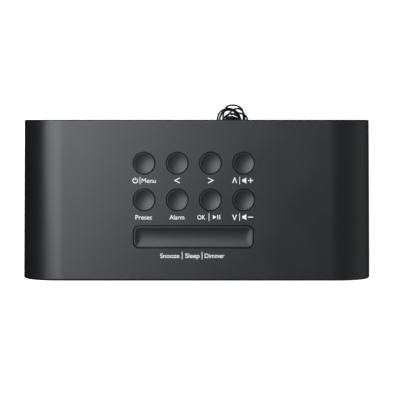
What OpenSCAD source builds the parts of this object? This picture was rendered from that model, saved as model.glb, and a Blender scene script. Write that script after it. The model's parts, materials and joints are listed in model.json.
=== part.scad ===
// Bedside clock radio: a wrap-around cabinet with a front and a rear panel, eight round keys
// and a snooze bar on top, two loudspeakers, a display, and a wire antenna that lies coiled
// behind the cable notch. X runs to the right, Y to the back and Z up. The origin is on the
// table under the middle of the cabinet. Lengths are in millimetres.

/* [Cabinet] */
// Width across the front edge
body_w = 210; // [206:1:225]
// Depth from the front edge to the back edge
body_d = 96; // [96:1:110]
// Height from the table to the top face
body_h = 80; // [80:1:95]
// Radius of the four long edges
corner_r = 18; // [14:0.5:19]
// Thickness of the cabinet's wall
wall = 2.5; // [2:0.1:2.8]
// How far each side leans in from front to back
side_draft = 1; // [0:0.1:1.2]
// Height of the rubber feet
foot_h = 4; // [3:0.5:5]
// How far the rear panel sits inside the back edge
rear_inset = 12; // [12:0.5:14]

/* [Keys] */
// Diameter of a round key
key_d = 12.6; // [11:0.1:13]
// Gap round every key and the snooze bar
key_gap = 0.4; // [0.3:0.05:0.5]
// Key spacing from left to right
key_pitch_x = 19.7; // [19:0.1:21]
// Key spacing from front to back
key_pitch_y = 21.8; // [19:0.1:22]
// Height of a key's rim above the top face
key_proud = 0.5; // [0.3:0.1:0.8]
// Travel of every key
key_travel = 0.5; // [0.3:0.1:0.6]
// Depth of the finger dish in a round key
dish_depth = 1.2; // [0.6:0.1:1.6]
// Length of the snooze bar
snooze_w = 71.2; // [60:0.2:72]
// Width of the snooze bar
snooze_d = 12.8; // [11:0.2:13]

/* [Front] */
// Width of the display window
window_w = 92; // [80:1:94]
// Height of the display window
window_h = 38; // [32:1:40]
// Width of a loudspeaker grille
grille_w = 44; // [40:1:46]
// Height of a loudspeaker grille
grille_h = 54; // [44:1:54]
// Slots in one grille
grille_slots = 11; // [7:1:11]

/* [Antenna] */
// Diameter of the antenna wire
wire_d = 1.2; // [1:0.1:1.4]
// Outside diameter of the coiled wire
coil_d = 20.6; // [18:0.2:21]

/* [Hidden] */
$fn = 48;

// Levels of the cabinet
y_front = -body_d / 2;
y_back = body_d / 2;
z_floor = foot_h + wall;
z_ceiling = body_h - wall;
z_middle = (foot_h + body_h) / 2;
panel_gap = 0.15;
slice_t = 0.01;
hull_fn = 32;

// Front panel, from its front face to its back face, with a shelf for the lens and the grilles
front_y = y_front + 1.5;
front_t = 4;
shelf_y = front_y + 2.2;
front_back_y = front_y + front_t;
lens_t = 2;
part_gap = 0.2;
lip = 3;
window_r = 3;
grille_r = 8;
cloth_t = 0.5;
grille_slot_w = 1.5;
grille_slot_h = grille_h - 10;
grille_pitch = (grille_w - 11) / (grille_slots - 1);
ledge_size = [4, 4, 6];
ledge_z = [z_middle - 17, z_middle + 17];

// Loudspeakers: radii of the panel's hole, the frame, its neck and its back opening, the cone and its cap
speaker_x = body_w / 2 - 29;
speaker_hole_r = 21;
speaker_flange_r = 26;
speaker_flange_t = 1.5;
speaker_root_r = 22.2;
basket_neck_r = 16;
basket_back_r = 5;
basket_t = 1.2;
basket_wall = 0.8;
basket_back_y = front_back_y + 15;
magnet_r = 16;
magnet_t = 8;
back_plate_r = 14.5;
back_plate_t = 2;
cone_r = 18.6;
cone_t = 0.7;
cone_depth = 8;
cap_r = 7.6;
cap_rise = 1.8;
surround_outer_r = 1.15;
surround_inner_r = 0.7;
surround_at = 19.75;
cone_y = front_back_y + 0.8;
speaker_screw_at = 24;
speaker_screw_r = 1;
speaker_head_r = 1.7;
speaker_head_t = 1.2;
speaker_pilot_depth = 1.5;

// Feet
foot_r = 6;
foot_edge = 0.5;
foot_at = [body_w / 2 - 29, body_d / 2 - 12];

// Rear panel
rear_y = y_back - rear_inset;
rear_t = 2.5;
rear_in_y = rear_y - rear_t;
rear_boss_r = 4;
rear_boss_x = body_w / 2 - 6.5;
boss_z = [z_middle - 15, z_middle + 15];

// Screws: shank, its pilot hole, and the head
shank_r = 1.2;
pilot_r = 1.25;
head_r = 2.5;
head_t = 1.5;

// Key field, its board and switches
field_x = -1.6;
field_y = 11.2;
key_columns = 4;
snooze_at = [-1.8, -21.7];
snooze_r = 3.3;
snooze_stem_x = 24;
flange_gap = 0.05;
flange_t = 1.2;
flange_out = 1.4;
flange_z = z_ceiling - flange_gap - flange_t;
stem_r = 2.2;
board_t = 1.6;
key_board_z = z_ceiling - 11.5;
switch_size = 6;
switch_h = 3.5;
plunger_r = 1.75;
plunger_gap = 0.05;
plunger_top_z = key_board_z + 5;
plunger_bottom_z = key_board_z + 2.6;
switch_well_z = plunger_bottom_z - key_travel - 0.6;
key_board_size = [95, 67];
key_board_y = -0.5;
key_post_at = [44, 29.5];
post_r = 3;

// Main board and what stands on it
main_board_z = z_floor + 7.5;
main_top_z = main_board_z + board_t;
main_board_size = [92, 60];
main_post_at = [41, 25];
capacitor_at = [[-34, -6], [-24, -6], [-34, 4]];
capacitor_r = 4;
capacitor_h = 12;
chips = [[-6, 0, 14], [-6, -15, 8], [-22, 8, 7]]; // each chip's x, y and side
chip_t = 1.6;
tuner_at = [18, 2];
tuner_size = [30, 22];
tuner_cover = [26, 18];
tuner_base_t = 1;
tuner_cover_t = 3;
header_size = [20, 4, 5];
display_header_y = -26.5;
key_header_at = [32, 16];
key_header_w = 14;
ribbon_t = 0.6;

// Sockets in the rear panel: each has a body on the board and a collar through the panel
dc_x = -22;
dc_body = [9, 11, 11];
dc_z = main_top_z + dc_body[2] / 2;
dc_collar_r = 4.3;
dc_socket_r = 3.15;
dc_pin_r = 1;
dc_depth = 9;
dc_pin_end = 1;
headphone_x = -2;
headphone_body = [7, 13, 7];
headphone_z = main_top_z + headphone_body[2] / 2;
headphone_collar_r = 3;
headphone_r = 1.8;
headphone_depth = 14;

// The wire's route from the grommet's nose down to the coil, with Y counted from the back edge
wire_route = [
    [23, -8, 30], [23, -5.6, 29.8], [22.8, -3.4, 28.8], [22.4, -1.8, 27], [22, -0.8, 24.8],
    [21.4, -0.1, 22.4], [20.8, 0.4, 20], [20.2, 0.9, 17.6], [19.4, 1.4, 15.4],
    [18.6, 1.8, 13.2], [17.8, 1.8, 11.2], [17, 1, 9.4], [16.6, -0.6, 8.4], [16.6, -2, 7.6]
];
wire_sides = 8;

// Antenna: where it leaves the rear panel, and where its coil lies
exit_x = wire_route[0][0];
exit_z = wire_route[0][2];
grommet_nose_y = y_back + wire_route[0][1];
grommet_r = 2.2;
grommet_flange_r = 3.2;
grommet_tip_r = 1.2;
wire_gap = 0.02;
coil_at = [23, y_back];
coil_h = 7.6;
coil_hole_r = 2.6;
coil_edge_r = 2;
notch_w = 30;
notch_r = 3;
tie_w = 2.4;
tie_t = 0.6;

// Half of the cabinet's width at a depth
function half_w(y) = body_w / 2 - side_draft * (y - y_front) / body_d;
function key_x(column) = field_x + (column - (key_columns - 1) / 2) * key_pitch_x;
function key_y(row) = field_y + (0.5 - row) * key_pitch_y;
function switch_places() = concat(
    [for (row = [0, 1], column = [0 : key_columns - 1]) [key_x(column), key_y(row)]],
    [for (side = [-1, 1]) snooze_at + [side * snooze_stem_x, 0]]
);

// A rounded rectangle of exact arcs
module plate(size, r) {
    square([size[0] - 2 * r, size[1]], center = true);
    square([size[0], size[1] - 2 * r], center = true);
    for (sx = [-1, 1], sy = [-1, 1])
        translate([sx * (size[0] / 2 - r), sy * (size[1] / 2 - r)]) circle(r);
}

// An X-Z outline pushed back from y to y + depth
module pushed(y, depth) {
    translate([0, y + depth, 0]) rotate([90, 0, 0]) linear_extrude(depth) children();
}

// A round bar along Y
module bar_y(x, z, r, y0, y1) {
    translate([x, y0, z]) rotate([-90, 0, 0]) cylinder(r = r, h = y1 - y0);
}

// A turned part whose axis runs along Y: its outline gives radius and depth
module turned(x, z) {
    translate([x, 0, z]) rotate([-90, 0, 0]) rotate_extrude() children();
}

// The four corner cylinders of the cabinet's outline at one depth
module slice(y, inset) {
    for (side = [-1, 1], z = [foot_h + corner_r, body_h - corner_r])
        translate([side * (half_w(y) - corner_r), y, z]) rotate([-90, 0, 0])
            cylinder(r = corner_r - inset, h = slice_t, $fn = hull_fn);
}

// The cabinet's form between two depths, set in from its outside
module form(inset, y0, y1) {
    hull() {
        slice(y0, inset);
        slice(y1 - slice_t, inset);
    }
}

// The four board posts' places about a middle
module at_corners(middle, at) {
    for (sx = [-1, 1], sy = [-1, 1])
        translate([middle[0] + sx * at[0], middle[1] + sy * at[1], 0]) children();
}

module screw_z(length) {
    cylinder(r = shank_r, h = length);
    translate([0, 0, -head_t]) cylinder(r = head_r, h = head_t);
}

// ---- Cabinet, panels and feet ----

module snooze_outline(grow) {
    translate(snooze_at) plate([snooze_w + 2 * grow, snooze_d + 2 * grow], snooze_r + grow);
}

module cabinet() {
    color([0.11, 0.11, 0.12]) difference() {
        union() {
            difference() {
                form(0, y_front, y_back);
                form(wall, y_front - 1, y_back + 1);
            }
            // posts of the key board, the main board and the rear panel
            at_corners([field_x, key_board_y], key_post_at)
                translate([0, 0, key_board_z]) cylinder(r = post_r, h = z_ceiling + 1 - key_board_z);
            at_corners([0, 0], main_post_at)
                translate([0, 0, foot_h + 1]) cylinder(r = post_r, h = main_board_z - foot_h - 1);
            for (side = [-1, 1], z = boss_z)
                bar_y(side * rear_boss_x, z, rear_boss_r, 8, rear_in_y);
            // ledges that the front panel clips against
            for (side = [-1, 1], z = ledge_z)
                translate([side * (half_w(0) - wall - 1.2), front_back_y + ledge_size[1] / 2, z])
                    cube(ledge_size, center = true);
        }
        for (row = [0, 1], column = [0 : key_columns - 1])
            translate([key_x(column), key_y(row), z_ceiling - 1])
                cylinder(r = key_d / 2 + key_gap, h = wall + 2);
        translate([0, 0, z_ceiling - 1]) linear_extrude(wall + 2) snooze_outline(key_gap);
        at_corners([field_x, key_board_y], key_post_at)
            translate([0, 0, key_board_z - 1]) cylinder(r = pilot_r, h = 8);
        at_corners([0, 0], main_post_at)
            translate([0, 0, main_board_z - 6]) cylinder(r = pilot_r, h = 7);
        for (side = [-1, 1], z = boss_z)
            bar_y(side * rear_boss_x, z, pilot_r, 16, rear_in_y + 1);
        // cable notch in the lower back edge
        translate([coil_at[0], y_back, foot_h - 1]) linear_extrude(wall + 2)
            plate([notch_w, 2 * rear_inset + 2], notch_r);
    }
}

module front_panel() {
    color([0.08, 0.08, 0.085]) difference() {
        form(wall + panel_gap, front_y, front_back_y);
        translate([0, 0, z_middle]) {
            pushed(front_y - 1, lens_t + 1) plate([window_w, window_h], window_r);
            pushed(front_y, front_t + 1)
                plate([window_w - 2 * lip, window_h - 2 * lip], window_r - 1);
            for (side = [-1, 1]) translate([side * speaker_x, 0, 0]) {
                pushed(front_y - 1, shelf_y - front_y + 1) plate([grille_w, grille_h], grille_r);
                pushed(front_y, front_t + 1) circle(speaker_hole_r);
            }
        }
        for (side = [-1, 1]) speaker_screw_places(side)
            bar_y(0, 0, speaker_screw_r + 0.1, front_back_y - speaker_pilot_depth, front_back_y + 1);
    }
}

module rear_panel() {
    color([0.1, 0.1, 0.105]) difference() {
        form(wall + panel_gap, rear_in_y, rear_y);
        for (side = [-1, 1], z = boss_z)
            bar_y(side * rear_boss_x, z, shank_r + 0.2, rear_in_y - 1, rear_y + 1);
        bar_y(dc_x, dc_z, dc_collar_r + part_gap, rear_in_y - 1, rear_y + 1);
        bar_y(headphone_x, headphone_z, headphone_collar_r + part_gap, rear_in_y - 1, rear_y + 1);
        bar_y(exit_x, exit_z, grommet_r + 0.05, rear_in_y - 1, rear_y + 1);
    }
}

module feet() {
    color([0.05, 0.05, 0.05]) at_corners([0, 0], foot_at) {
        cylinder(r1 = foot_r - foot_edge, r2 = foot_r, h = foot_edge);
        translate([0, 0, foot_edge]) cylinder(r = foot_r, h = foot_h - foot_edge);
    }
}

// ---- Keys ----

module key(column, row) {
    dish_r = key_d / 2 - 0.6;
    ball_r = (dish_r * dish_r + dish_depth * dish_depth) / (2 * dish_depth);
    top_z = body_h + key_proud;
    color([0.1, 0.1, 0.105]) translate([key_x(column), key_y(row), 0]) difference() {
        union() {
            translate([0, 0, flange_z]) cylinder(r = key_d / 2, h = top_z - flange_z);
            translate([0, 0, flange_z]) cylinder(r = key_d / 2 + flange_out, h = flange_t);
            translate([0, 0, plunger_top_z]) cylinder(r = stem_r, h = flange_z - plunger_top_z + 1);
        }
        translate([0, 0, top_z + ball_r - dish_depth]) sphere(r = ball_r, $fn = 96);
    }
}

module snooze_bar() {
    trough_depth = 1.5;
    trough_half = snooze_d / 2 - 0.9;
    trough_r = (trough_half * trough_half + trough_depth * trough_depth) / (2 * trough_depth);
    top_z = body_h + key_proud;
    end_x = snooze_w / 2 - 0.9;
    ramp = 3;
    color([0.1, 0.1, 0.105]) difference() {
        union() {
            translate([0, 0, flange_z]) linear_extrude(top_z - flange_z) snooze_outline(0);
            translate([0, 0, flange_z]) linear_extrude(flange_t) snooze_outline(flange_out);
            for (side = [-1, 1])
                translate([snooze_at[0] + side * snooze_stem_x, snooze_at[1], plunger_top_z])
                    cylinder(r = stem_r, h = flange_z - plunger_top_z + 1);
        }
        // finger trough: a lying cylinder that runs out in a ramp at each end
        translate([snooze_at[0], snooze_at[1], top_z]) intersection() {
            translate([0, 0, trough_r - trough_depth]) rotate([0, 90, 0])
                cylinder(r = trough_r, h = snooze_w, center = true, $fn = 96);
            rotate([90, 0, 0]) linear_extrude(snooze_d, center = true) polygon([
                [-end_x, 0], [-end_x + ramp, -trough_depth - 0.1],
                [end_x - ramp, -trough_depth - 0.1], [end_x, 0], [end_x, 2], [-end_x, 2]
            ]);
        }
    }
}

module plunger() {
    translate([0, 0, plunger_bottom_z]) cylinder(r = plunger_r, h = plunger_top_z - plunger_bottom_z);
}

module key_plunger(column, row) {
    color([0.85, 0.84, 0.8]) translate([key_x(column), key_y(row), 0]) plunger();
}

module plungers_snooze() {
    color([0.85, 0.84, 0.8]) for (side = [-1, 1])
        translate([snooze_at[0] + side * snooze_stem_x, snooze_at[1], 0]) plunger();
}

module key_switches() {
    color([0.16, 0.16, 0.17]) for (at = switch_places()) translate([at[0], at[1], 0]) difference() {
        translate([-switch_size / 2, -switch_size / 2, key_board_z])
            cube([switch_size, switch_size, switch_h]);
        translate([0, 0, switch_well_z]) cylinder(r = plunger_r + plunger_gap, h = switch_h);
    }
}

module key_board() {
    color([0.05, 0.25, 0.12]) difference() {
        translate([field_x, key_board_y, key_board_z - board_t]) linear_extrude(board_t)
            plate(key_board_size, 2);
        at_corners([field_x, key_board_y], key_post_at)
            translate([0, 0, key_board_z - board_t - 1]) cylinder(r = shank_r + 0.2, h = board_t + 2);
    }
}

module key_board_screws() {
    color([0.75, 0.75, 0.77]) at_corners([field_x, key_board_y], key_post_at)
        translate([0, 0, key_board_z - board_t]) screw_z(7);
}

// ---- Display ----

module display_lens() {
    color([0.02, 0.02, 0.03]) translate([0, 0, z_middle])
        pushed(front_y, lens_t)
            plate([window_w - 2 * part_gap, window_h - 2 * part_gap], window_r - part_gap);
}

module display_panel() {
    size = [window_w - 2 * lip - 2 * part_gap, window_h - 2 * lip - 2 * part_gap];
    color([0.1, 0.14, 0.16]) translate([0, 0, z_middle])
        pushed(front_y + lens_t, front_t) plate(size, window_r - 1 - part_gap);
}

module display_frame() {
    color([0.9, 0.9, 0.88]) translate([0, 0, z_middle]) pushed(front_back_y, lens_t) difference() {
        plate([window_w, window_h], window_r);
        plate([window_w - 2 * lip, window_h - 2 * lip], window_r - 1);
    }
}

module display_board() {
    color([0.05, 0.25, 0.12]) translate([0, 0, z_middle])
        pushed(front_back_y + lens_t, board_t) plate([window_w, window_h], window_r - 1);
}

// ---- Loudspeakers ----

module grille(side) {
    color([0.07, 0.07, 0.075]) translate([side * speaker_x, 0, z_middle])
        pushed(front_y, shelf_y - front_y - cloth_t) difference() {
            plate([grille_w - 2 * part_gap, grille_h - 2 * part_gap], grille_r - part_gap);
            for (i = [0 : grille_slots - 1])
                translate([(i - (grille_slots - 1) / 2) * grille_pitch, 0])
                    square([grille_slot_w, grille_slot_h], center = true);
        }
}

module grille_cloth(side) {
    color([0.03, 0.03, 0.03]) translate([side * speaker_x, 0, z_middle])
        pushed(shelf_y - cloth_t, cloth_t)
            plate([grille_w - 2 * part_gap, grille_h - 2 * part_gap], grille_r - part_gap);
}

module speaker_screw_places(side) {
    for (turn = [45 : 90 : 315])
        translate([
            side * speaker_x + speaker_screw_at * cos(turn), 0, z_middle + speaker_screw_at * sin(turn)
        ]) children();
}

module speaker_frame(side) {
    flange_y = front_back_y + speaker_flange_t;
    color([0.3, 0.3, 0.32]) difference() {
        turned(side * speaker_x, z_middle) polygon([
            [speaker_hole_r, front_back_y], [speaker_flange_r, front_back_y],
            [speaker_flange_r, flange_y], [speaker_root_r, flange_y],
            [basket_neck_r, basket_back_y - 1], [basket_neck_r, basket_back_y],
            [basket_back_r, basket_back_y], [basket_back_r, basket_back_y - basket_t],
            [basket_neck_r - basket_wall, basket_back_y - basket_t], [speaker_hole_r, flange_y]
        ]);
        speaker_screw_places(side)
            bar_y(0, 0, speaker_screw_r + 0.2, front_back_y - 1, flange_y + 1);
    }
}

module speaker_magnet(side) {
    plate_y = basket_back_y + magnet_t;
    color([0.2, 0.2, 0.21]) {
        bar_y(side * speaker_x, z_middle, magnet_r, basket_back_y, plate_y);
        bar_y(side * speaker_x, z_middle, back_plate_r, plate_y, plate_y + back_plate_t);
    }
}

// A cone of even thickness with a shallow cap in its middle
module speaker_cone(side) {
    face = [
        [0, cone_depth - cap_rise], [cap_r / 2, cone_depth - 0.7 * cap_rise],
        [cap_r, cone_depth], [cone_r, 0]
    ];
    color([0.12, 0.12, 0.12]) turned(side * speaker_x, z_middle) translate([0, cone_y]) polygon(concat(
        face, [for (i = [len(face) - 1 : -1 : 0]) face[i] + [0, cone_t]]
    ));
}

// A half roll of rubber round the cone
module speaker_surround(side) {
    color([0.05, 0.05, 0.05]) turned(side * speaker_x, z_middle)
        translate([surround_at, cone_y]) difference() {
            circle(surround_outer_r);
            circle(surround_inner_r);
            translate([-2, 0]) square([4, 2]);
        }
}

module speaker_screws() {
    flange_y = front_back_y + speaker_flange_t;
    color([0.75, 0.75, 0.77]) for (side = [-1, 1]) speaker_screw_places(side) {
        bar_y(0, 0, speaker_screw_r, front_back_y - speaker_pilot_depth + 0.2, flange_y);
        bar_y(0, 0, speaker_head_r, flange_y, flange_y + speaker_head_t);
    }
}

// ---- Boards, their parts and the sockets ----

module main_board() {
    color([0.05, 0.25, 0.12]) difference() {
        translate([0, 0, main_board_z]) linear_extrude(board_t) plate(main_board_size, 2);
        at_corners([0, 0], main_post_at)
            translate([0, 0, main_board_z - 1]) cylinder(r = shank_r + 0.2, h = board_t + 2);
    }
}

module main_board_screws() {
    color([0.75, 0.75, 0.77]) at_corners([0, 0], main_post_at)
        translate([0, 0, main_top_z]) mirror([0, 0, 1]) screw_z(7);
}

module tuner_module() {
    color([0.72, 0.72, 0.74]) translate([tuner_at[0], tuner_at[1], main_top_z]) {
        linear_extrude(tuner_base_t) plate(tuner_size, 1);
        translate([0, 0, tuner_base_t]) linear_extrude(tuner_cover_t) plate(tuner_cover, 1.2);
    }
}

module board_capacitors() {
    color([0.15, 0.2, 0.3]) for (at = capacitor_at)
        translate([at[0], at[1], main_top_z]) cylinder(r = capacitor_r, h = capacitor_h);
}

module board_chips() {
    color([0.07, 0.07, 0.07]) for (chip = chips)
        translate([chip[0], chip[1], main_top_z]) linear_extrude(chip_t)
            square([chip[2], chip[2]], center = true);
}

module cable_headers() {
    color([0.88, 0.86, 0.8]) {
        translate([-header_size[0] / 2, display_header_y, main_top_z]) cube(header_size);
        translate([key_header_at[0] - key_header_w / 2, key_header_at[1], main_top_z])
            cube([key_header_w, header_size[1], header_size[2]]);
    }
}

// A flat cable in a Y-Z plane along a few points
function across(points, i) =
    let (a = points[max(i - 1, 0)], b = points[min(i + 1, len(points) - 1)], d = (b - a) / norm(b - a))
        [-d[1], d[0]];

module ribbon(x, width, points) {
    last = len(points) - 1;
    outline = concat(
        [for (i = [0 : last]) points[i] + across(points, i) * ribbon_t / 2],
        [for (i = [last : -1 : 0]) points[i] - across(points, i) * ribbon_t / 2]
    );
    translate([x - width / 2, 0, 0]) rotate([90, 0, 90]) linear_extrude(width) polygon(outline);
}

module display_ribbon() {
    start_y = front_back_y + lens_t + board_t;
    end_y = display_header_y + header_size[1] / 2;
    end_z = main_top_z + header_size[2];
    color([0.6, 0.6, 0.62]) ribbon(0, 18, [
        [start_y, end_z + 9], [start_y + 4, end_z + 9], [start_y + 8.5, end_z + 8],
        [end_y - 1.5, end_z + 5], [end_y, end_z + 2], [end_y, end_z]
    ]);
}

module key_ribbon() {
    under_z = key_board_z - board_t;
    end_y = key_header_at[1] + header_size[1] / 2;
    end_z = main_top_z + header_size[2];
    color([0.6, 0.6, 0.62]) ribbon(key_header_at[0], key_header_w - 2, [
        [end_y + 4, under_z], [end_y + 4, under_z - 4], [end_y + 6, under_z - 14],
        [end_y + 6, end_z + 14], [end_y, end_z + 4], [end_y, end_z]
    ]);
}

// A socket's body on the board, inside the rear panel
module socket_body(x, size) {
    translate([x - size[0] / 2, rear_in_y - size[1], main_top_z]) cube(size);
}

module dc_jack() {
    color([0.06, 0.06, 0.06]) {
        difference() {
            union() {
                socket_body(dc_x, dc_body);
                bar_y(dc_x, dc_z, dc_collar_r, rear_in_y - 1, rear_y);
            }
            bar_y(dc_x, dc_z, dc_socket_r, rear_y - dc_depth, rear_y + 1);
        }
        bar_y(dc_x, dc_z, dc_pin_r, rear_y - dc_depth - 1, rear_y - dc_pin_end);
    }
}

module headphone_jack() {
    color([0.06, 0.06, 0.06]) difference() {
        union() {
            socket_body(headphone_x, headphone_body);
            bar_y(headphone_x, headphone_z, headphone_collar_r, rear_in_y - 1, rear_y);
        }
        bar_y(headphone_x, headphone_z, headphone_r, rear_y - headphone_depth, rear_y + 1);
    }
}

module rear_screws() {
    color([0.12, 0.12, 0.12]) for (side = [-1, 1], z = boss_z) difference() {
        union() {
            bar_y(side * rear_boss_x, z, shank_r, rear_in_y - 12, rear_y);
            bar_y(side * rear_boss_x, z, head_r, rear_y, rear_y + head_t);
        }
        for (turn = [0, 90]) translate([side * rear_boss_x, rear_y + head_t, z]) rotate([0, turn, 0])
            cube([3, 1.4, 0.6], center = true);
    }
}

// ---- Antenna ----

module antenna_grommet() {
    color([0.05, 0.05, 0.05]) turned(exit_x, exit_z) polygon([
        [wire_d / 2 + wire_gap, rear_in_y - 1], [grommet_flange_r, rear_in_y - 1],
        [grommet_flange_r, rear_in_y], [grommet_r, rear_in_y], [grommet_r, rear_y],
        [grommet_flange_r, rear_y], [grommet_flange_r, rear_y + 1], [grommet_r, rear_y + 1.4],
        [grommet_tip_r, grommet_nose_y], [wire_d / 2 + wire_gap, grommet_nose_y]
    ]);
}

// One ring of a tube: eight points square to the route at a point
function along(route, i) =
    let (d = route[min(i + 1, len(route) - 1)] - route[max(i - 1, 0)]) d / norm(d);
function tube_ring(route, i, r, sides) =
    let (
        d = i == 0 ? [0, 1, 0] : i == len(route) - 1 ? [0, 0, -1] : along(route, i),
        u = cross(d, [1, 0, 0]) / norm(cross(d, [1, 0, 0])),
        v = cross(d, u)
    ) [for (k = [0 : sides - 1]) route[i] + r * (cos(k * 360 / sides) * u + sin(k * 360 / sides) * v)];

module tube(route, r, sides) {
    rings = len(route);
    polyhedron(
        points = [for (i = [0 : rings - 1]) each tube_ring(route, i, r, sides)],
        faces = concat(
            [[for (k = [sides - 1 : -1 : 0]) k]],
            [for (i = [0 : rings - 2], k = [0 : sides - 1])
                let (a = i * sides + k, b = i * sides + (k + 1) % sides) [a, b, b + sides]],
            [for (i = [0 : rings - 2], k = [0 : sides - 1])
                let (a = i * sides + k, b = i * sides + (k + 1) % sides) [a, b + sides, a + sides]],
            [[for (k = [0 : sides - 1]) (rings - 1) * sides + k]]
        )
    );
}

module antenna_wire() {
    color([0.03, 0.03, 0.03]) translate([0, y_back, 0]) tube(wire_route, wire_d / 2, wire_sides);
}

module antenna_coil() {
    ring_w = coil_d / 2 - coil_hole_r;
    color([0.03, 0.03, 0.03]) translate([coil_at[0], coil_at[1], 0]) rotate_extrude()
        translate([coil_hole_r + ring_w / 2, coil_h / 2]) plate([ring_w, coil_h], coil_edge_r);
}

// A band round the coil's section on the side towards the cabinet
module antenna_tie() {
    low_y = coil_at[1] - coil_d / 2;
    color([0.02, 0.02, 0.02]) translate([coil_at[0] - tie_w / 2, 0, 0]) rotate([90, 0, 90])
        linear_extrude(tie_w) difference() {
            translate([low_y - tie_t, 0]) square([coil_d / 2 - coil_hole_r + 2 * tie_t, coil_h + tie_t]);
            translate([low_y, tie_t]) square([coil_d / 2 - coil_hole_r, coil_h - tie_t]);
        }
}

cabinet();
front_panel();
rear_panel();
feet();
key(0, 0);  // key_power
key(1, 0);  // key_previous
key(2, 0);  // key_next
key(3, 0);  // key_up
key(0, 1);  // key_preset
key(1, 1);  // key_alarm
key(2, 1);  // key_ok
key(3, 1);  // key_down
snooze_bar();
key_plunger(0, 0);  // plunger_power
key_plunger(1, 0);  // plunger_previous
key_plunger(2, 0);  // plunger_next
key_plunger(3, 0);  // plunger_up
key_plunger(0, 1);  // plunger_preset
key_plunger(1, 1);  // plunger_alarm
key_plunger(2, 1);  // plunger_ok
key_plunger(3, 1);  // plunger_down
plungers_snooze();
key_switches();
key_board();
key_board_screws();
display_lens();
display_panel();
display_frame();
display_board();
grille(-1);  // grille_left
grille(1);  // grille_right
grille_cloth(-1);  // grille_cloth_left
grille_cloth(1);  // grille_cloth_right
speaker_frame(-1);  // speaker_frame_left
speaker_frame(1);  // speaker_frame_right
speaker_magnet(-1);  // speaker_magnet_left
speaker_magnet(1);  // speaker_magnet_right
speaker_cone(-1);  // speaker_cone_left
speaker_cone(1);  // speaker_cone_right
speaker_surround(-1);  // speaker_surround_left
speaker_surround(1);  // speaker_surround_right
speaker_screws();
main_board();
main_board_screws();
tuner_module();
board_capacitors();
board_chips();
cable_headers();
display_ribbon();
key_ribbon();
dc_jack();
headphone_jack();
rear_screws();
antenna_grommet();
antenna_wire();
antenna_coil();
antenna_tie();
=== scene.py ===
import json
import math

import bmesh
import bpy
import numpy as np
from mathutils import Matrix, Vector
from mathutils.geometry import tessellate_polygon


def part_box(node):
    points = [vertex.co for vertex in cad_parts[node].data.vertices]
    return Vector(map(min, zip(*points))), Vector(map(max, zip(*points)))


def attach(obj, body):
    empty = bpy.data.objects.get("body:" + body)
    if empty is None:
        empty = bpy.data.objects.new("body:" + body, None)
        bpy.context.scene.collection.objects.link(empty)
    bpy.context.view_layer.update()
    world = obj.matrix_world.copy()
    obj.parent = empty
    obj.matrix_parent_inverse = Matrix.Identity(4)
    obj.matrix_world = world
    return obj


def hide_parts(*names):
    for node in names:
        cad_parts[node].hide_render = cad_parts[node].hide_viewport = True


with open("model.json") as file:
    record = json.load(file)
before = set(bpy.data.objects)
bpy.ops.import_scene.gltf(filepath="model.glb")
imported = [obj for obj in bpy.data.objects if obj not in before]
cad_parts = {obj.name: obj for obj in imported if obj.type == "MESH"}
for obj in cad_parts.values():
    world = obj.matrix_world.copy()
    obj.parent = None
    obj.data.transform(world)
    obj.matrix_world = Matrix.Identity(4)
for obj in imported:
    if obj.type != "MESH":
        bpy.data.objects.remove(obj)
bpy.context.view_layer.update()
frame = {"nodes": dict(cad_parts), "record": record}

MM = 0.001
CABINET = "cabinet"

# The cabinet's own sizes, and its box from the frame
CORNER_R = 18 * MM
CORNER_EASE = 7 * MM        # how much further in the upper corners begin
WALL = 2.5 * MM
SIDE_DRAFT = 1 * MM
CAB_LOW, CAB_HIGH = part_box("cabinet")
HALF_FRONT = CAB_HIGH.x
FRONT_Y, BACK_Y = CAB_LOW.y, CAB_HIGH.y
TOP_Z, BASE_Z = CAB_HIGH.z, CAB_LOW.z
CEILING_Z = TOP_Z - WALL

# Keys: each row from left to right, from the back row to the front row
KEY_ROWS = (("power", "previous", "next", "up"), ("preset", "alarm", "ok", "down"))
KEY_R = 6.3 * MM
KEY_GAP = 0.4 * MM
KEY_PROUD = 0.5 * MM
DISH_DEPTH = 0.7 * MM
SNOOZE_SIZE = (71.2 * MM, 12.8 * MM)
SNOOZE_R = 3.3 * MM
FLANGE_OUT = 1.4 * MM
FLANGE_T = 1.2 * MM
FLANGE_TOP_Z = CEILING_Z - 0.05 * MM

# Antenna wire
WIRE_D = 1.2 * MM

ON_AXIS = 1e-7              # stands for no radius in a turned profile


def middle(node):
    low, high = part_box(node)
    return (low + high) / 2


# ---------------------------------------------------------------- mesh helpers


def new_object(name, verts, faces, material, body=CABINET, smooth=True):
    """A mesh with outward faces, riding on a body unless that is None."""
    mesh = bpy.data.meshes.new(name)
    mesh.from_pydata([tuple(v) for v in verts], [], faces)
    mesh.materials.append(material)
    obj = bpy.data.objects.new(name, mesh)
    bpy.context.scene.collection.objects.link(obj)
    work = bmesh.new()
    work.from_mesh(mesh)
    bmesh.ops.remove_doubles(work, verts=work.verts, dist=1e-6)
    bmesh.ops.recalc_face_normals(work, faces=work.faces)
    work.to_mesh(mesh)
    work.free()
    for p in mesh.polygons:
        p.use_smooth = smooth
    if body:
        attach(obj, body)
    return obj


def rings_to_faces(rings, count, closed=False):
    """Quads between rings of points, with a face over each end unless the last ring meets the first."""
    faces = []
    for i in range(rings if closed else rings - 1):
        a, b = i * count, (i + 1) % rings * count
        faces += [(a + j, a + (j + 1) % count, b + (j + 1) % count, b + j) for j in range(count)]
    if not closed:
        faces.append(tuple(reversed(range(count))))
        faces.append(tuple(range((rings - 1) * count, rings * count)))
    return faces


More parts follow.
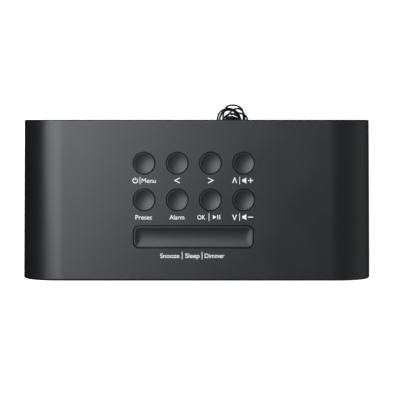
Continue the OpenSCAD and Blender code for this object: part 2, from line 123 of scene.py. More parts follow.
def rounded(half_x, half_y, r, arc=10, long_steps=1, short_steps=1):
    """A rounded rectangle's points, once round, with its straight sides in steps."""
    r = max(min(r, half_x, half_y), 1e-6)
    corners = ((half_x - r, half_y - r, 0), (r - half_x, half_y - r, 90),
               (r - half_x, r - half_y, 180), (half_x - r, r - half_y, 270))
    points = []
    for i, (cx, cy, start) in enumerate(corners):
        turn = [math.radians(start + 90 * k / arc) for k in range(arc + 1)]
        points += [(cx + r * math.cos(a), cy + r * math.sin(a)) for a in turn]
        nx, ny, after = corners[(i + 1) % 4]
        a = math.radians(after)
        end = (nx + r * math.cos(a), ny + r * math.sin(a))
        steps = long_steps if i % 2 == 0 else short_steps
        last = points[-1]
        points += [(last[0] + (end[0] - last[0]) * k / steps, last[1] + (end[1] - last[1]) * k / steps)
                   for k in range(1, steps)]
    return points


def arc_points(cx, cy, r, start, end, steps=20):
    turn = [math.radians(start + (end - start) * k / steps) for k in range(steps + 1)]
    return [(cx + r * math.cos(a), cy + r * math.sin(a)) for a in turn]


def quarter(r, steps):
    """(cos, sin) times r over a quarter turn."""
    return arc_points(0, 0, r, 0, 90, steps)


def turned(name, profile, centre, material, body, steps=72):
    """A lathe part about a vertical axis from (radius, height) points."""
    verts, faces = [], []
    for r, z in profile:
        verts += [(centre[0] + r * math.cos(2 * math.pi * k / steps),
                   centre[1] + r * math.sin(2 * math.pi * k / steps), z) for k in range(steps)]
    faces = rings_to_faces(len(profile), steps)
    return new_object(name, verts, faces, material, body)


def bevelled(obj, width, segments=2, angle=40, weld=False):
    """Small rounded edges, and normals that keep the flat faces flat."""
    if weld:
        obj.modifiers.new("weld", "WELD").merge_threshold = 1e-6
    bevel = obj.modifiers.new("edges", "BEVEL")
    bevel.width, bevel.segments = width, segments
    bevel.limit_method, bevel.angle_limit = "ANGLE", math.radians(angle)
    normal = obj.modifiers.new("normals", "WEIGHTED_NORMAL")
    normal.weight = 100
    for p in obj.data.polygons:
        p.use_smooth = True


def cut_away(obj, cutter):
    """Takes the cutter's shape out of obj for good."""
    cut = obj.modifiers.new("cut", "BOOLEAN")
    cut.operation, cut.solver, cut.object = "DIFFERENCE", "EXACT", cutter
    graph = bpy.context.evaluated_depsgraph_get()
    mesh = bpy.data.meshes.new_from_object(obj.evaluated_get(graph))
    obj.modifiers.clear()
    obj.data = mesh
    bpy.data.objects.remove(cutter)


# ---------------------------------------------------------------- materials


def linked_noise(tree, scale, detail=3, stretch=(1, 1, 1)):
    """A noise texture that sits on the object, with its grain size in metres."""
    nodes, link = tree.nodes, tree.links.new
    place = nodes.new("ShaderNodeTexCoord")
    shape = nodes.new("ShaderNodeMapping")
    shape.inputs["Scale"].default_value = stretch
    noise = nodes.new("ShaderNodeTexNoise")
    noise.inputs["Scale"].default_value = 1 / scale
    noise.inputs["Detail"].default_value = detail
    link(place.outputs["Object"], shape.inputs["Vector"])
    link(shape.outputs["Vector"], noise.inputs["Vector"])
    return noise.outputs["Fac"]


def surface(name, colour, roughness, grain=0.3 * MM, bump=0.1, mottle=0.15, gloss_range=0.04,
            metallic=0.0, specular=0.5, coat=0.0, stretch=(1, 1, 1)):
    """A moulded, painted or metal surface: fine grain in the bump, slow changes of colour and gloss."""
    material = bpy.data.materials.new(name)
    material.use_nodes = True
    material.diffuse_color = (*colour, 1)
    tree = material.node_tree
    nodes, link = tree.nodes, tree.links.new
    shader = nodes["Principled BSDF"]
    shader.inputs["Metallic"].default_value = metallic
    shader.inputs["Specular IOR Level"].default_value = specular
    shader.inputs["Coat Weight"].default_value = coat
    blotch = linked_noise(tree, 60 * grain, 4, stretch)
    mix = nodes.new("ShaderNodeMix")
    mix.data_type = "RGBA"
    mix.inputs["A"].default_value = (*[c * (1 - mottle) for c in colour], 1)
    mix.inputs["B"].default_value = (*[min(c * (1 + mottle), 1) for c in colour], 1)
    link(blotch, mix.inputs["Factor"])
    link(mix.outputs["Result"], shader.inputs["Base Color"])
    gloss = nodes.new("ShaderNodeMapRange")
    gloss.inputs["To Min"].default_value = roughness - gloss_range
    gloss.inputs["To Max"].default_value = roughness + gloss_range
    link(blotch, gloss.inputs["Value"])
    link(gloss.outputs["Result"], shader.inputs["Roughness"])
    relief = nodes.new("ShaderNodeBump")
    relief.inputs["Strength"].default_value = bump
    relief.inputs["Distance"].default_value = grain / 8
    link(linked_noise(tree, grain, 2, stretch), relief.inputs["Height"])
    link(relief.outputs["Normal"], shader.inputs["Normal"])
    return material


def glowing(name, colour, strength):
    """A surface that also shines by itself."""
    material = surface(name, colour, 0.4, mottle=0.03)
    shader = material.node_tree.nodes["Principled BSDF"]
    shader.inputs["Emission Color"].default_value = (*colour, 1)
    shader.inputs["Emission Strength"].default_value = strength
    return material


SATIN = surface("satin_cabinet", (0.0072, 0.0075, 0.0082), 0.33, bump=0.06)
KEY_PLASTIC = surface("satin_keys", (0.0072, 0.0075, 0.0082), 0.38, bump=0.05)
PANEL = surface("grained_panel", (0.010, 0.010, 0.011), 0.5, grain=0.5 * MM, bump=0.25)
PRINT = surface("white_print", (0.96, 0.96, 0.96), 0.55, mottle=0.02)
WIRE = surface("wire_sheath", (0.004, 0.004, 0.004), 0.5, grain=0.4 * MM, bump=0.08, specular=0.25)

NODE_MATERIALS = {
    "panel_plastic": PANEL,
    "white_plastic": surface("natural_plastic", (0.75, 0.73, 0.68), 0.45),
    "part_plastic": surface("component_plastic", (0.015, 0.015, 0.016), 0.4),
    "board": surface("solder_mask", (0.015, 0.11, 0.04), 0.3, grain=0.8 * MM, mottle=0.35),
    "ribbon": surface("flat_cable", (0.5, 0.5, 0.52), 0.5, grain=0.6 * MM, stretch=(1, 0.05, 0.05)),
    "lens": surface("smoked_acrylic", (0.004, 0.0042, 0.005), 0.06, bump=0.0, gloss_range=0.01, coat=0.5),
    "display": surface("display_glass", (0.02, 0.03, 0.035), 0.1, bump=0.0),
    "cloth": surface("acoustic_cloth", (0.008, 0.008, 0.008), 0.9, grain=0.5 * MM, bump=0.9),
    "steel": surface("zinc_steel", (0.55, 0.56, 0.58), 0.32, metallic=1.0, stretch=(1, 0.2, 1)),
    "black_steel": surface("black_screw", (0.02, 0.02, 0.02), 0.35, metallic=0.6),
    "cone": surface("treated_paper", (0.02, 0.02, 0.02), 0.8, grain=0.6 * MM, bump=0.6),
    "aluminium": surface("capacitor_sleeve", (0.03, 0.04, 0.09), 0.35),
    "rubber": surface("black_rubber", (0.012, 0.012, 0.012), 0.7, bump=0.2),
}


# ---------------------------------------------------------------- camera, lights and floor


def add_camera():
    """High above the back edge, tilted a little towards the front, as a product is photographed."""
    centre_x, centre_y, above, over_back = 2 * MM, 0.3 * MM, 823 * MM, 2.7 * MM
    data = bpy.data.cameras.new("camera")
    data.sensor_width, data.lens = 36, 124.9
    camera = bpy.data.objects.new("camera", data)
    bpy.context.scene.collection.objects.link(camera)
    camera.location = (centre_x, BACK_Y - over_back, TOP_Z + above)
    target = Vector((centre_x, centre_y, TOP_Z))
    tilt = math.atan2(camera.location.y - target.y, camera.location.z - target.z)
    camera.rotation_euler = (-tilt, 0, 0)
    bpy.context.scene.camera = camera


def add_softbox(name, place, target, size, power, colour):
    data = bpy.data.lights.new(name, "AREA")
    data.shape, data.size, data.size_y = "RECTANGLE", size[0], size[1]
    data.energy, data.color = power, colour
    lamp = bpy.data.objects.new(name, data)
    bpy.context.scene.collection.objects.link(lamp)
    lamp.location = place
    lamp.rotation_euler = (Vector(target) - Vector(place)).to_track_quat("-Z", "Y").to_euler()


def add_world():
    """A dim studio: darkest to the left, brightest low on the right, and pale in front and behind."""
    world = bpy.data.worlds.new("studio")
    world.use_nodes = True
    nodes, link = world.node_tree.nodes, world.node_tree.links.new
    split = nodes.new("ShaderNodeSeparateXYZ")
    link(nodes.new("ShaderNodeTexCoord").outputs["Generated"], split.inputs["Vector"])

    def ramp(axis, stops):
        """Brightness by one part of the direction, from -1 to 1. The first two stops are the outermost."""
        reach = nodes.new("ShaderNodeMapRange")
        reach.inputs["From Min"].default_value = -1
        link(split.outputs[axis], reach.inputs["Value"])
        curve = nodes.new("ShaderNodeValToRGB")
        points = curve.color_ramp.elements
        for i, (at, value) in enumerate(stops):
            point = points[i] if i < 2 else points.new((at + 1) / 2)
            point.position = (at + 1) / 2
            point.color = (value, value, value, 1)
        link(reach.outputs["Result"], curve.inputs["Fac"])
        return curve.outputs["Color"]

    def combine(kind, a, b):
        node = nodes.new("ShaderNodeMath")
        node.operation = kind
        link(a, node.inputs[0])
        link(b, node.inputs[1])
        return node.outputs["Value"]

    across = ramp("X", ((-1, 0.06), (1, 0.55), (-0.3, 0.1), (0.15, 0.18), (0.5, 0.2), (0.8, 0.36)))
    fade_below = ramp("Z", ((-0.9, 0), (0, 1), (-0.55, 0.35)))
    along = ramp("Y", ((-0.9, 0.4), (0.9, 0.4), (-0.6, 0), (0.6, 0)))
    fade_above = ramp("Z", ((-0.8, 1), (0.6, 0), (-0.1, 1), (0.1, 0.6)))
    sides = combine("MULTIPLY", across, fade_below)
    ends = combine("MULTIPLY", along, fade_above)
    link(combine("ADD", sides, ends), nodes["Background"].inputs["Strength"])
    nodes["Background"].inputs["Color"].default_value = (0.97, 0.985, 1, 1)
    bpy.context.scene.world = world


def add_floor():
    """A white sheet that the camera sees, and that neither lights the object nor shows in its gloss."""
    reach = 2.5
    verts = [(-reach, -reach, 0), (reach, -reach, 0), (reach, reach, 0), (-reach, reach, 0)]
    paper = glowing("white_paper", (0.9, 0.9, 0.9), 1.0)
    floor = new_object("floor", verts, [(0, 1, 2, 3)], paper, body=None, smooth=False)
    floor.visible_glossy = floor.visible_diffuse = False


def light_the_set():
    bpy.context.scene.view_settings.view_transform = "Standard"
    add_world()
    add_floor()
    add_softbox("softbox_left", (-0.43, 0.24, 1.1), (0, 0, TOP_Z), (0.86, 0.85), 14.3, (0.9, 0.925, 1))


# ---------------------------------------------------------------- antenna


# All in millimetres. The route runs from the grommet's nose to the coil, with Y counted from the back edge.
WIRE_ROUTE = (
    (23, -8, 30), (23, -5.6, 29.8), (22.8, -3.4, 28.8), (22.4, -1.8, 27), (22, -0.8, 24.8),
    (21.4, -0.1, 22.4), (20.8, 0.4, 20), (20.2, 0.9, 17.6), (19.4, 1.4, 15.4),
    (18.6, 1.8, 13.2), (17.8, 1.8, 11.2), (17, 1, 9.4), (16.6, -0.6, 8.4), (16.6, -2, 7.6),
)
COIL_LOW, COIL_HIGH = (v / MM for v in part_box("antenna_coil"))
COIL_CENTRE = np.array([(COIL_LOW.x + COIL_HIGH.x) / 2, (COIL_LOW.y + COIL_HIGH.y) / 2])
COIL_R = (COIL_HIGH.x - COIL_LOW.x) / 2
TIE_AT = np.array([COIL_CENTRE[0], COIL_LOW.y + 2.6, 3.8])
BUNDLE_R = 3.3              # of the turns inside the tie
BUNDLE_ROOM = BUNDLE_R - WIRE_D / 2 / MM
BEND_R = 3.3                # the settling aims for no tighter bend than this
# The loose loops: which turn, how its axis leans, its length from the tie and its half width.
# All other turns are small and stay behind the tie.
LOOSE_LOOPS = {
    0: (100, 13, 5.6), 15: (106, 15.4, 7.3), 16: (96, 12.6, 5.2), 17: (101, 14.6, 6.6),
    18: (87, 18.2, 6.8), 19: (75, 15.8, 5.8), 20: (60, 13.2, 7.0),
}
TURNS = 21
POINT_STEP = 1.3
SETTLE_ROUNDS, QUICK_ROUNDS = 320, 30


def small_loop(n):
    """Lean, length and half width of a turn behind the tie, each a little different."""
    return 90 + 16 * math.sin(2.1 * n), 8 + 0.4 * math.sin(1.3 * n), 5 + 0.5 * math.cos(1.7 * n)


def wound(per_turn=40):
    """Every turn starts and ends in the tie and reaches out along its own axis."""
    points = []
    for n in range(TURNS):
        lean, length, half = LOOSE_LOOPS.get(n, small_loop(n))
        a = math.radians(lean)
        axis, side = np.array([math.cos(a), math.sin(a)]), np.array([math.sin(a), -math.cos(a)])
        # the turn's place in the tie, on a sunflower spiral
        slot = BUNDLE_ROOM * math.sqrt((n + 0.5) / TURNS) * np.array([math.cos(2.4 * n), math.sin(2.4 * n)])
        first = int(0.74 * per_turn) if n == 0 else 0
        last = int(0.7 * per_turn) if n == TURNS - 1 else per_turn
        for k in range(first, last):
            u = 2 * math.pi * k / per_turn
            far = (1 - math.cos(u)) / 2
            x, y = TIE_AT[:2] + far * length * axis + half * math.sin(u) * side
            z = TIE_AT[2] + (1 - far) * slot[1] + far * 2.6 * math.sin(1.7 * n + 0.8)
            points.append((x, y + (1 - far) ** 3 * slot[0], z))
    return np.array(points)


def evenly(points, step):
    """The same path with points at even distances."""
    along = np.concatenate([[0], np.cumsum(np.linalg.norm(np.diff(points, axis=0), axis=1))])
    at = np.linspace(0, along[-1], int(round(along[-1] / step)) + 1)
    return np.stack([np.interp(at, along, points[:, k]) for k in range(3)], axis=1)


def pushed_apart(points, pairs, gap):
    """Moves each point away from those closer than the gap, by at most half a millimetre."""
    i, j = pairs
    d = points[i] - points[j]
    length = np.sqrt((d * d).sum(1))
    hit = length < gap
    push = (0.3 * (gap - length[hit]) / np.maximum(length[hit], 1e-6))[:, None] * d[hit]
    move = np.zeros_like(points)
    np.add.at(move, i[hit], push)
    np.add.at(move, j[hit], -push)
    size = np.linalg.norm(move, axis=1, keepdims=True)
    return points + move * np.minimum(1, 0.5 / np.maximum(size, 1e-9))


def held_by_tie(points, fixed):
    """Pulls whatever passes through the tie towards its inside."""
    near = (np.abs(points[:, 0] - TIE_AT[0]) < 1.3) & (points[:, 1] < TIE_AT[1] + 4.2)
    near[:fixed] = False
    off = points[:, 1:] - TIE_AT[1:]
    out = np.linalg.norm(off, axis=1)
    pull = near & (out > BUNDLE_ROOM)
    points[pull, 1:] -= (0.5 * off * (1 - BUNDLE_ROOM / np.maximum(out, 1e-9))[:, None])[pull]


def unbent(points):
    """Takes out bends tighter than the wire makes, and keeps every step its length."""
    off = (points[2:] + points[:-2]) / 2 - points[1:-1]
    size = np.linalg.norm(off, axis=1)
    allowed = POINT_STEP * POINT_STEP / (2 * BEND_R)
    fix = off * np.maximum(1 - allowed / np.maximum(size, 1e-9), 0)[:, None] + 0.02 * off
    points[1:-1] += 0.4 * fix
    points[:-2] -= 0.1 * fix
    points[2:] -= 0.1 * fix
    d = points[1:] - points[:-1]
    fix = (0.5 * (1 - POINT_STEP / np.linalg.norm(d, axis=1)))[:, None] * d
    points[:-1] += fix
    points[1:] -= fix


def settled(points, fixed, rounds):
    """Lets the turns come to rest: they push apart, keep their length, and lie down in the coil's room."""
    wire = WIRE_D / MM
    pairs = np.triu_indices(len(points), 4)
    start, plan = points[:fixed].copy(), points.copy()
    for turn in range(rounds):
        soft = max(1 - turn / (0.75 * rounds), 0)
        points[fixed:, 2] -= 0.03 * soft
        points[fixed:, :2] += 0.06 * soft * (plan[fixed:, :2] - points[fixed:, :2])
        for _ in range(3):
            points = pushed_apart(points, pairs, 1.04 * wire)
            held_by_tie(points, fixed)
        for _ in range(4):
            unbent(points)
            points[:fixed] = start
        flat = points[fixed:, :2] - COIL_CENTRE
        out = np.maximum(np.linalg.norm(flat, axis=1), 1e-9)
        points[fixed:, :2] = COIL_CENTRE + flat * np.minimum(1, (COIL_R - wire / 2) / out)[:, None]
        points[fixed:, 2] = np.clip(points[fixed:, 2], wire / 2, COIL_HIGH.z - wire / 2)
    return points


def add_antenna():
    lead = np.array(WIRE_ROUTE, float) + (0, BACK_Y / MM, 0)
    fixed = len(lead) - 2
    path = evenly(np.concatenate([lead[fixed - 1:], wound()]), POINT_STEP)
    rounds = SETTLE_ROUNDS
    path = settled(np.concatenate([lead[:fixed], path[1:]]), fixed, rounds) * MM
    curve = bpy.data.curves.new("antenna_lead", "CURVE")
    curve.dimensions, curve.resolution_u = "3D", 3
    curve.bevel_depth, curve.bevel_resolution, curve.use_fill_caps = WIRE_D / 2, 3, True
    spline = curve.splines.new("NURBS")
    spline.points.add(len(path) - 1)
    for point, at in zip(spline.points, path):
        point.co = (*at, 1)
    spline.order_u, spline.use_endpoint_u = 4, True
    curve.materials.append(WIRE)
    wire = bpy.data.objects.new("antenna_lead", curve)
    bpy.context.scene.collection.objects.link(wire)
    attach(wire, CABINET)
    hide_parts("antenna_wire", "antenna_coil")
    add_tie()


def add_tie():
    """A flat tie round the bundle, standing on the table."""
    half, thick, width = (BUNDLE_R + 0.05) * MM, 0.45 * MM, 2.2 * MM
    inner = rounded(half, half, half, 10)
    outer = rounded(half + thick, half + thick, half + thick, 10)
    x0, y0, z0 = TIE_AT[0] * MM, TIE_AT[1] * MM, max(TIE_AT[2] * MM, half + thick)
    verts = []
    for x, loop in ((-width / 2, outer), (width / 2, outer), (width / 2, inner), (-width / 2, inner)):
        verts += [(x0 + x, y0 + a, z0 + b) for a, b in loop]
    tie = new_object("wire_tie", verts, rings_to_faces(4, len(inner), closed=True), WIRE)
    bevelled(tie, 0.12 * MM)
    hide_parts("antenna_tie")
    return tie


# ---------------------------------------------------------------- cabinet


def half_width(y):
    """Half the cabinet's width, which gets a little less towards the back."""
    return HALF_FRONT - SIDE_DRAFT * (y - FRONT_Y) / (BACK_Y - FRONT_Y)


def wall_section():
    """(y, inset) once round the cabinet wall's section: outside, back lip, inside, front lip."""
    outer_front, outer_back, inner = 1.3 * MM, 0.8 * MM, 0.4 * MM
    loop = [(FRONT_Y + outer_front - a, outer_front - b) for a, b in quarter(outer_front, 6)]
    loop += [(BACK_Y - outer_back + b, outer_back - a) for a, b in quarter(outer_back, 5)]
    loop += [(BACK_Y - inner + a, WALL - inner + b) for a, b in quarter(inner, 3)]
    loop += [(FRONT_Y + inner - b, WALL - inner + a) for a, b in quarter(inner, 3)]
    return loop


def eased(loop, half_x, r, reach):
    """Stretches the upper corners sideways, so that the flat top turns down gently."""
    bend = half_x - r - 0.001 * MM
    return [(math.copysign(half_x - (half_x - abs(x)) * reach / r, x) if z > 0 and abs(x) > bend else x, z)
            for x, z in loop]


def add_cabinet():
    section = wall_section()
    half_z, middle_z = (TOP_Z - BASE_Z) / 2, (TOP_Z + BASE_Z) / 2
    verts = []
    for y, inset in section:
        half_x, r = half_width(y) - inset, CORNER_R - inset
        reach = r + CORNER_EASE * max(1 - inset / WALL, 0)
        loop = eased(rounded(half_x, half_z - inset, r, 28), half_x, r, reach)
        verts += [(x, y, z + middle_z) for x, z in loop]
    faces = rings_to_faces(len(section), len(verts) // len(section), closed=True)
    shell = new_object("cabinet_shell", verts, faces, SATIN)
    cut_away(shell, top_cutter())
    bevelled(shell, 0.25 * MM, 3)
    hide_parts("cabinet")


def prism(verts, faces, loop, low, high):
    """Adds an upright prism over a loop of (x, y) points."""
    first, count = len(verts), len(loop)
    verts += [(x, y, z) for z in (low, high) for x, y in loop]
    faces += [tuple(first + i for i in face) for face in rings_to_faces(2, count)]


def top_cutter():
    """The key holes, the snooze opening and the cable notch, as one shape to cut away."""
    verts, faces = [], []
    low, high = CEILING_Z - 1 * MM, TOP_Z + 1 * MM
    for name in sum(KEY_ROWS, ()):
        at = middle("key_" + name)
        prism(verts, faces, arc_points(at.x, at.y, KEY_R + KEY_GAP, 0, 360, 96)[:-1], low, high)
    at = middle("snooze_bar")
    half = [s / 2 + KEY_GAP for s in SNOOZE_SIZE]
    prism(verts, faces, [(at.x + x, at.y + y) for x, y in rounded(*half, SNOOZE_R + KEY_GAP, 16)], low, high)
    notch = rounded(15 * MM, 13 * MM, 3 * MM, 8)
    prism(verts, faces, [(COIL_CENTRE[0] * MM + x, BACK_Y + y) for x, y in notch],
          BASE_Z - 1 * MM, BASE_Z + WALL + 0.5 * MM)
    return new_object("cutter", verts, faces, SATIN, body=None, smooth=False)


# ---------------------------------------------------------------- keys


def add_key(name):
    """A turned cap: a finger dish inside a narrow rounded rim, its flange and its stem."""
    node = "key_" + name
    centre = middle(node)
    top = TOP_Z + KEY_PROUD
    rim, dish_r = 0.3 * MM, KEY_R - 0.45 * MM
    ball = (dish_r ** 2 + DISH_DEPTH ** 2) / (2 * DISH_DEPTH)
    rings = 18
    reaches = [dish_r * k / rings for k in range(rings + 1)]
    bottom = top - DISH_DEPTH
    profile = [(max(r, ON_AXIS), bottom + ball - math.sqrt(ball ** 2 - r ** 2)) for r in reaches]
    profile += [(KEY_R - rim + b, top - rim + a) for a, b in quarter(rim, 6)]
    stem_low, stem_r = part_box(node)[0].z, 2.2 * MM
    profile += [(KEY_R, FLANGE_TOP_Z), (KEY_R + FLANGE_OUT, FLANGE_TOP_Z),
                (KEY_R + FLANGE_OUT, FLANGE_TOP_Z - FLANGE_T), (stem_r, FLANGE_TOP_Z - FLANGE_T),
                (stem_r, stem_low), (ON_AXIS, stem_low)]
    cap = turned("cap_" + name, profile, centre, KEY_PLASTIC, name + "_key")
    bevelled(cap, 0.1 * MM, 2, 60)
    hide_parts(node)


def snooze_height(x, y):
    """The finger trough's height against the bar's rim: a lying cylinder that fades at each end."""
    depth, ramp = 0.65 * MM, 3.6 * MM
    half_y, half_x = SNOOZE_SIZE[1] / 2 - 0.9 * MM, SNOOZE_SIZE[0] / 2 - 0.9 * MM
    r = (half_y ** 2 + depth ** 2) / (2 * depth)
    trough = min(r - depth - math.sqrt(max(r ** 2 - y ** 2, 0)), 0)
    along = min(max((half_x - abs(x)) / ramp, 0), 1)
    return trough * math.sin(along * math.pi / 2)


def add_snooze():
    centre = middle("snooze_bar")
    top = TOP_Z + KEY_PROUD
    half_x, half_y = (s / 2 for s in SNOOZE_SIZE)
    rim = 0.35 * MM
    arc, long_steps, short_steps = 10, 40, 6

    def ring(inset, z=None):
        """One loop of the bar, at height z or on the trough."""
        r = max(SNOOZE_R - inset, 0.1 * MM)
        loop = rounded(half_x - inset, half_y - inset, r, arc, long_steps, short_steps)
        return [(centre.x + x, centre.y + y, top + snooze_height(x, y) if z is None else z) for x, y in loop]

    low = FLANGE_TOP_Z - FLANGE_T
    verts = ring(-FLANGE_OUT, low) + ring(-FLANGE_OUT, FLANGE_TOP_Z) + ring(0, FLANGE_TOP_Z)
    for a, b in reversed(quarter(rim, 5)):
        verts += ring(rim - b, top - rim + a)
    for inset in (0.6, 0.9, 1.0, 1.2, 1.5, 1.9, 2.4, 3.0, 3.7, 4.5, 5.3, 6.0, 6.39):
        verts += ring(inset * MM)
    count = len(ring(0))
    bar = new_object("bar_snooze", verts, rings_to_faces(len(verts) // count, count), KEY_PLASTIC, "snooze")
    bevelled(bar, 0.1 * MM, 2, 60)
    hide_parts("snooze_bar")


# ---------------------------------------------------------------- printed labels


CAPS = 2.8 * MM             # height of capitals
LINE = 0.5 * MM             # width of the signs' lines
FONT_CAPS = 0.73            # height of the font's capitals at size 1


class Print:
    """Gathers flat printed shapes on a plane into one thin mesh."""

    def __init__(self, thickness=0.04 * MM):
        self.verts, self.faces, self.thickness = [], [], thickness

    def polygon(self, points):
        """A filled outline of (x, y) points."""
        first, count = len(self.verts), len(points)
        self.verts += [(x, y, z) for z in (0, self.thickness) for x, y in points]
        tris = tessellate_polygon([[Vector((x, y, 0)) for x, y in points]])
        self.faces += [tuple(first + i for i in t) for t in tris]
        self.faces += [tuple(first + count + i for i in reversed(t)) for t in tris]
        self.faces += [tuple(first + i for i in face) for face in rings_to_faces(2, count)[:count]]

    def stroke(self, points, width):
        """A line of even width through a few points."""
        p = [Vector(a) for a in points]
        left, right = [], []
        for i, at in enumerate(p):
            before = (at - p[i - 1]).normalized() if i else (p[1] - at).normalized()
            after = (p[i + 1] - at).normalized() if i + 1 < len(p) else before
            side = Vector((-(before + after).y, (before + after).x)).normalized()
            reach = width / 2 / max(side.dot(Vector((-before.y, before.x))), 0.3)
            left.append(tuple(at + side * reach))
            right.append(tuple(at - side * reach))
        self.polygon(left + right[::-1])

    def text(self, words, x, y, width, cap_height):
        """Plain letters from x, on a base line at y, drawn to a width and a height of capitals."""
        curve = bpy.data.curves.new("words", "FONT")
        curve.body, curve.size = words, 1
        curve.extrude, curve.offset = 0.5, 0.005
        obj = bpy.data.objects.new("words", curve)
        mesh = bpy.data.meshes.new_from_object(obj)
        xs = [v.co.x for v in mesh.vertices]
        scale_x, scale_y = width / (max(xs) - min(xs)), cap_height / FONT_CAPS
        first = len(self.verts)
        for v in mesh.vertices:
            up = (v.co.z + 0.5) * self.thickness
            self.verts.append((x + (v.co.x - min(xs)) * scale_x, y + v.co.y * scale_y, up))
        self.faces += [tuple(first + i for i in p.vertices) for p in mesh.polygons]
        bpy.data.objects.remove(obj)
        bpy.data.meshes.remove(mesh)
        bpy.data.curves.remove(curve)

    def build(self, name, material, place):
        """place turns a flat point and its height into a point in the frame."""
        obj = new_object(name, [place(*v) for v in self.verts], self.faces, material, smooth=False)


def power_sign(ink, x, y):
    r = 1.45 * MM
    ink.stroke(arc_points(x, y, r, 125, 415), LINE)
    ink.stroke([(x, y + 0.2 * MM), (x, y + r + 0.4 * MM)], LINE)


def chevron(ink, x, y, direction):
    """An open arrow head: left, right, up or down."""
    a, b = 1.5 * MM, (1.5 if direction in ("left", "right") else 1.2) * MM
    turn = {"right": 0, "up": 90, "left": 180, "down": 270}[direction]
    c, s = math.cos(math.radians(turn)), math.sin(math.radians(turn))
    points = [(-a, b), (a, 0), (-a, -b)]
    ink.stroke([(x + c * p - s * q, y + s * p + c * q) for p, q in points], LINE)


def divider(ink, x, y):
    ink.stroke([(x, y - 2.2 * MM), (x, y + 2.2 * MM)], 0.35 * MM)


def speaker_sign(ink, x, y):
    half = [(-1.2, -0.8), (-0.3, -0.8), (1.1, -1.8)]
    outline = half + [(a, -b) for a, b in reversed(half)]
    ink.polygon([(x + a * MM, y + b * MM) for a, b in outline])


def sign(ink, x, y, plus):
    r = 1.5 * MM
    ink.stroke([(x - r, y), (x + r, y)], LINE)
    if plus:
        ink.stroke([(x, y + r), (x, y + LINE / 2)], LINE)
        ink.stroke([(x, y - LINE / 2), (x, y - r)], LINE)


def add_labels():
    """Plain function words and signs beside each key."""
    ink = Print()
    below, drop = 10.2 * MM, 11.6 * MM
    at = {name: middle("key_" + name) for name in sum(KEY_ROWS, ())}

    def word(name, words, x, width):
        ink.text(words, at[name].x + x * MM, at[name].y - drop, width * MM, CAPS)

    def spot(name, x):
        return at[name].x + x * MM, at[name].y - below

    power_sign(ink, *spot("power", -5.3))
    divider(ink, *spot("power", -2.5))
    word("power", "Menu", -1.5, 8.4)
    chevron(ink, *spot("previous", 0), "left")
    chevron(ink, *spot("next", 0), "right")
    word("preset", "Preset", -5.2, 9.8)
    word("alarm", "Alarm", -4.7, 8.8)
    word("ok", "OK", -7.8, 4.7)
    divider(ink, *spot("ok", -0.9))
    x, y = spot("ok", 1.4)
    ink.polygon([(x, y - 1.3 * MM), (x + 2.1 * MM, y), (x, y + 1.3 * MM)])
    for pause_x in (x + 2.9 * MM, x + 4.1 * MM):
        ink.stroke([(pause_x, y - 1.3 * MM), (pause_x, y + 1.3 * MM)], LINE)
    for name in ("up", "down"):
        chevron(ink, *spot(name, -5.4), name)
        divider(ink, *spot(name, -2.4))
        speaker_sign(ink, *spot(name, 0.4))
        sign(ink, *spot(name, 4.1), plus=name == "up")
    bar = middle("snooze_bar")
    base = bar.y - 12.55 * MM
    for words, x, width in (("Snooze", -19.9, 11.4), ("Sleep", -5.0, 8.5), ("Dimmer", 6.6, 11.8)):
        ink.text(words, bar.x + x * MM, base, width * MM, CAPS)
    for x in (-6.8, 5.0):
        divider(ink, bar.x + x * MM, base + 1.4 * MM)
    ink.build("top_labels", PRINT, lambda x, y, z: (x, y, TOP_Z + z))


# ---------------------------------------------------------------- display


# Which strokes each figure lights: a to f go clockwise from the top, and g is the middle one
SEGMENTS = {"0": "abcdef", "1": "bc", "2": "abged"}


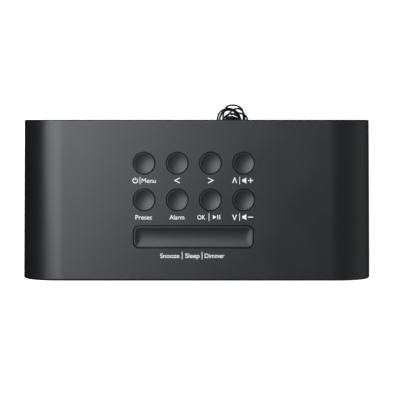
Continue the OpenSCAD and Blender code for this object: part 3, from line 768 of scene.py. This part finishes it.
def figure(ink, digit, x, y, width, height, thick):
    """A seven-stroke figure with its lower left corner at x, y."""
    gap = 0.25 * MM
    lean = math.tan(math.radians(6))
    w, h, t = width, height, thick / 2
    ends = {
        "a": ((0, h), (w, h)), "b": ((w, h), (w, h / 2)), "c": ((w, h / 2), (w, 0)), "d": ((0, 0), (w, 0)),
        "e": ((0, 0), (0, h / 2)), "f": ((0, h / 2), (0, h)), "g": ((0, h / 2), (w, h / 2)),
    }
    for key in SEGMENTS[digit]:
        a, b = (Vector(p) for p in ends[key])
        d = (b - a).normalized()
        n = Vector((-d.y, d.x))
        a, b = a + d * gap, b - d * gap
        outline = [a, a + d * t + n * t, b - d * t + n * t, b, b - d * t - n * t, a + d * t - n * t]
        ink.polygon([(x + p.x + p.y * lean, y + p.y) for p in outline])


def add_clock_figures():
    low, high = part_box("display_lens")
    ink = Print(0.03 * MM)
    height, width, thick, pitch = 18 * MM, 9.5 * MM, 2 * MM, 15.5 * MM
    base = (low.z + high.z) / 2 - height / 2
    starts = (-2.25 * pitch, -1.25 * pitch, 0.35 * pitch, 1.35 * pitch)
    for digit, x in zip("1200", starts):
        figure(ink, digit, x, base, width, height, thick)
    for up in (0.3, 0.7):
        x, y, r = -0.02 * pitch, base + up * height, 0.9 * MM
        ink.polygon([(x - r, y - r), (x + r, y - r), (x + r, y + r), (x - r, y + r)])
    glow = glowing("display_figures", (0.75, 0.9, 1.0), 0.9)
    ink.build("display_figures", glow, lambda x, z, up: (x, low.y - up, z))


# ---------------------------------------------------------------- CAD nodes that stay


NODE_EDGES = {  # width of the rounded edges, in millimetres, on the parts that show
    "front_panel": 0.3, "rear_panel": 0.3, "grille_left": 0.25, "grille_right": 0.25, "display_lens": 0.25,
    "feet": 0.4, "rear_screws": 0.12, "dc_jack": 0.15, "headphone_jack": 0.15,
}


def finish_nodes():
    """Gives the CAD nodes that stay their materials, and those that show rounded edges."""
    slots = {s["node"]: s["material_slot"] for s in frame["record"]["subparts"]}
    for name, obj in frame["nodes"].items():
        material = NODE_MATERIALS.get(slots[name])
        if material is None:
            continue
        obj.data.materials.clear()
        obj.data.materials.append(material)
        if name in NODE_EDGES:
            bevelled(obj, NODE_EDGES[name] * MM, 2, 40, weld=True)


add_camera()
add_antenna()
light_the_set()
add_cabinet()
for key_name in sum(KEY_ROWS, ()):
    add_key(key_name)
add_snooze()
add_labels()
add_clock_figures()
finish_nodes()
